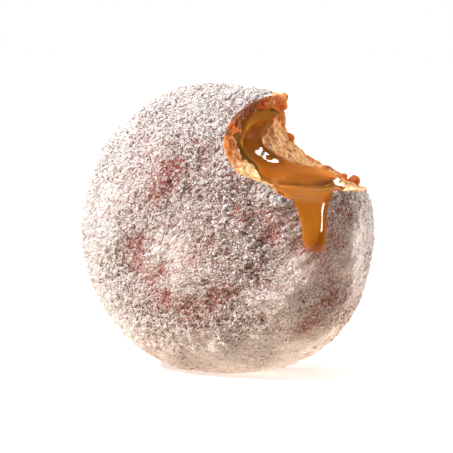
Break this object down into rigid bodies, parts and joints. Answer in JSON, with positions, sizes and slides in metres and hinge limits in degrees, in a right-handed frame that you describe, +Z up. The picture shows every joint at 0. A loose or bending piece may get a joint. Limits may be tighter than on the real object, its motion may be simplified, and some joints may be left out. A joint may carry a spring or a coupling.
{
  "type": "filled doughnut",
  "caption": "Round sugar-coated doughnut without a hole, standing on its edge, bitten at the upper right to show a caramel-brown milk filling that drips over the front.",
  "frame": {"origin": "the middle of the small flat on the rim that the doughnut stands on", "axes": "+X to the viewer's right across the round face, towards the bitten side; +Y through the thickness, away from the shown face; +Z up"},
  "size_m": [0.0902, 0.0577, 0.0876],
  "materials": {
    "dough": "fried dough coated in fine powdered sugar, matt and grainy",
    "dulce_de_leche": "thick caramel-brown milk spread, wet and glossy"
  },
  "bodies": {
    "root": {"dough": "dough", "dulce_de_leche": "dulce_de_leche"}
  },
  "joints": []
}
